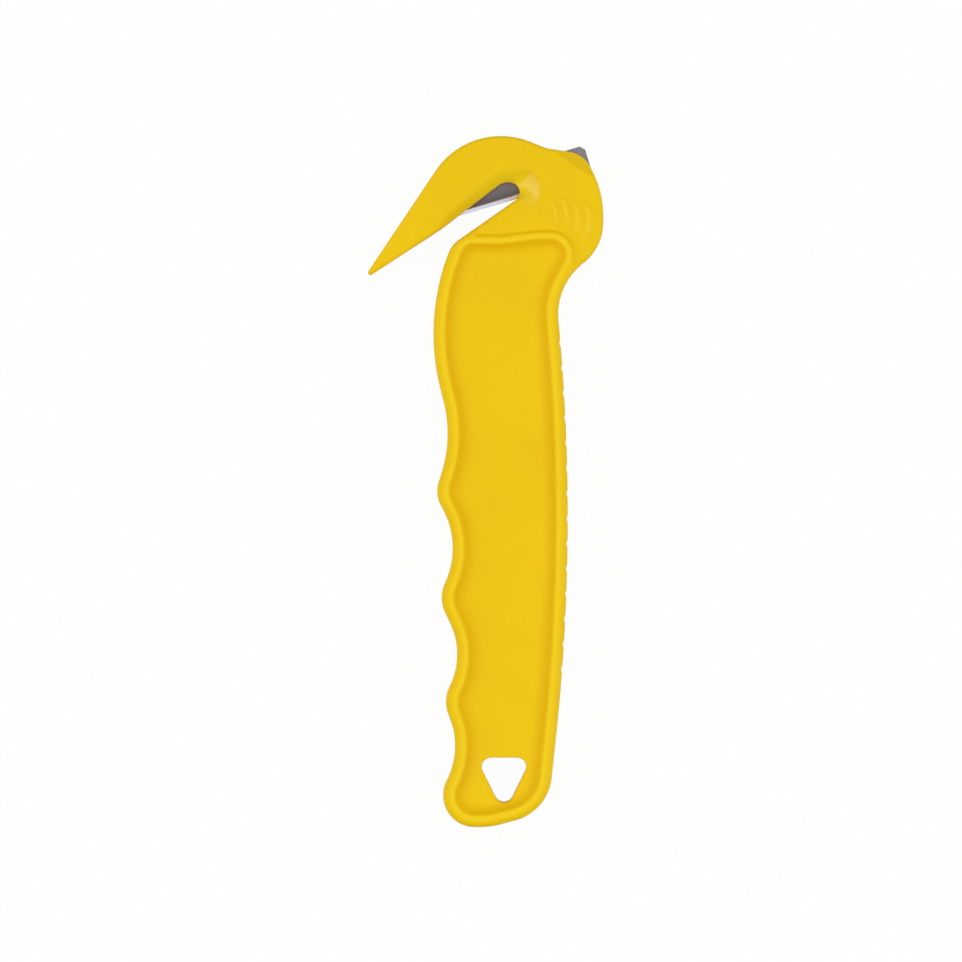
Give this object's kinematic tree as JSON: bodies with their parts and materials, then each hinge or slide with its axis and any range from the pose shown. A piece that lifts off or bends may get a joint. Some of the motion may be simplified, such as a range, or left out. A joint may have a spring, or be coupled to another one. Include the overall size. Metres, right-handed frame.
{
  "type": "safety hook cutter",
  "caption": "One-hand hook cutter: a finger-grooved plastic handle whose hooked head guides film or strap onto an enclosed blade, with a tape splitter at the corner and a hang hole.",
  "frame": {"origin": "middle of the plan's bounding box, on the surface it lies on, under the rear rim", "axes": "+Y along the length from the hang hole to the hooked head, +Z through the thickness from the rear half to the front half, -X to the side the hook points to"},
  "size_m": [0.0544, 0.1598, 0.012],
  "materials": {
    "yellow_plastic": "satin moulded ABS in warm yellow",
    "blade_steel": "ground strip steel"
  },
  "bodies": {
    "root": {"front_half": "yellow_plastic", "rear_half": "yellow_plastic", "blade": "blade_steel"}
  },
  "joints": []
}
